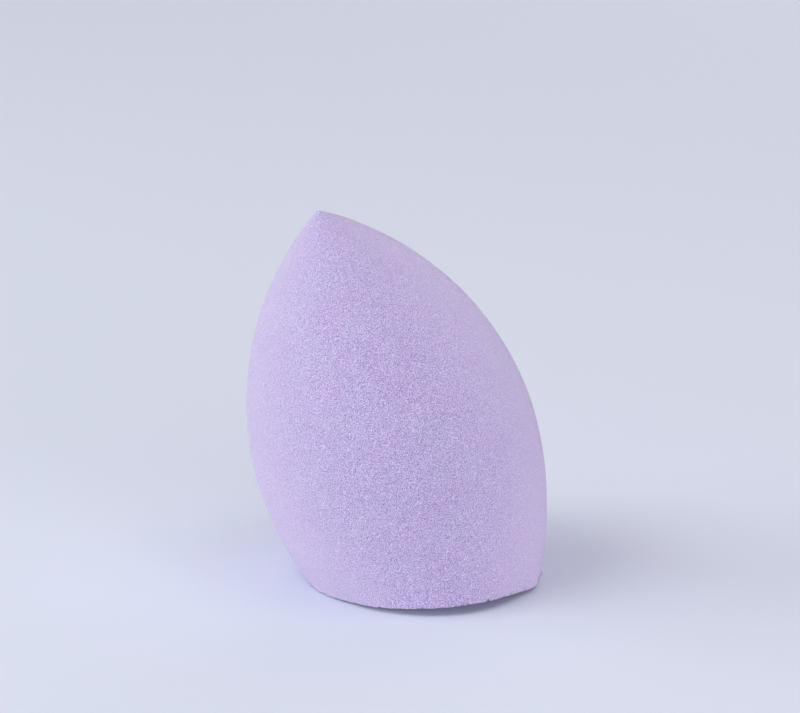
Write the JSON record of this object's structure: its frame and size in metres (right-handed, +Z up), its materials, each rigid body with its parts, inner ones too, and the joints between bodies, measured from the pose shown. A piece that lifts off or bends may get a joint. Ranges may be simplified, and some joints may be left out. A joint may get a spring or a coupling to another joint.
{
  "type": "makeup sponge",
  "caption": "Teardrop foam makeup sponge with a fine point and a slanted flat-cut base, for dabbing and blending liquid and powder cosmetics.",
  "frame": {"origin": "middle of the slanted flat cut that the sponge stands on", "axes": "+Z up out of the cut, through the foam; the sponge's own axis and its point lean from +Z towards -X; the XZ plane is the mirror plane"},
  "size_m": [0.0447, 0.042, 0.0567],
  "materials": {
    "foam": "matte"
  },
  "bodies": {
    "root": {"foam_body": "foam"}
  },
  "joints": []
}
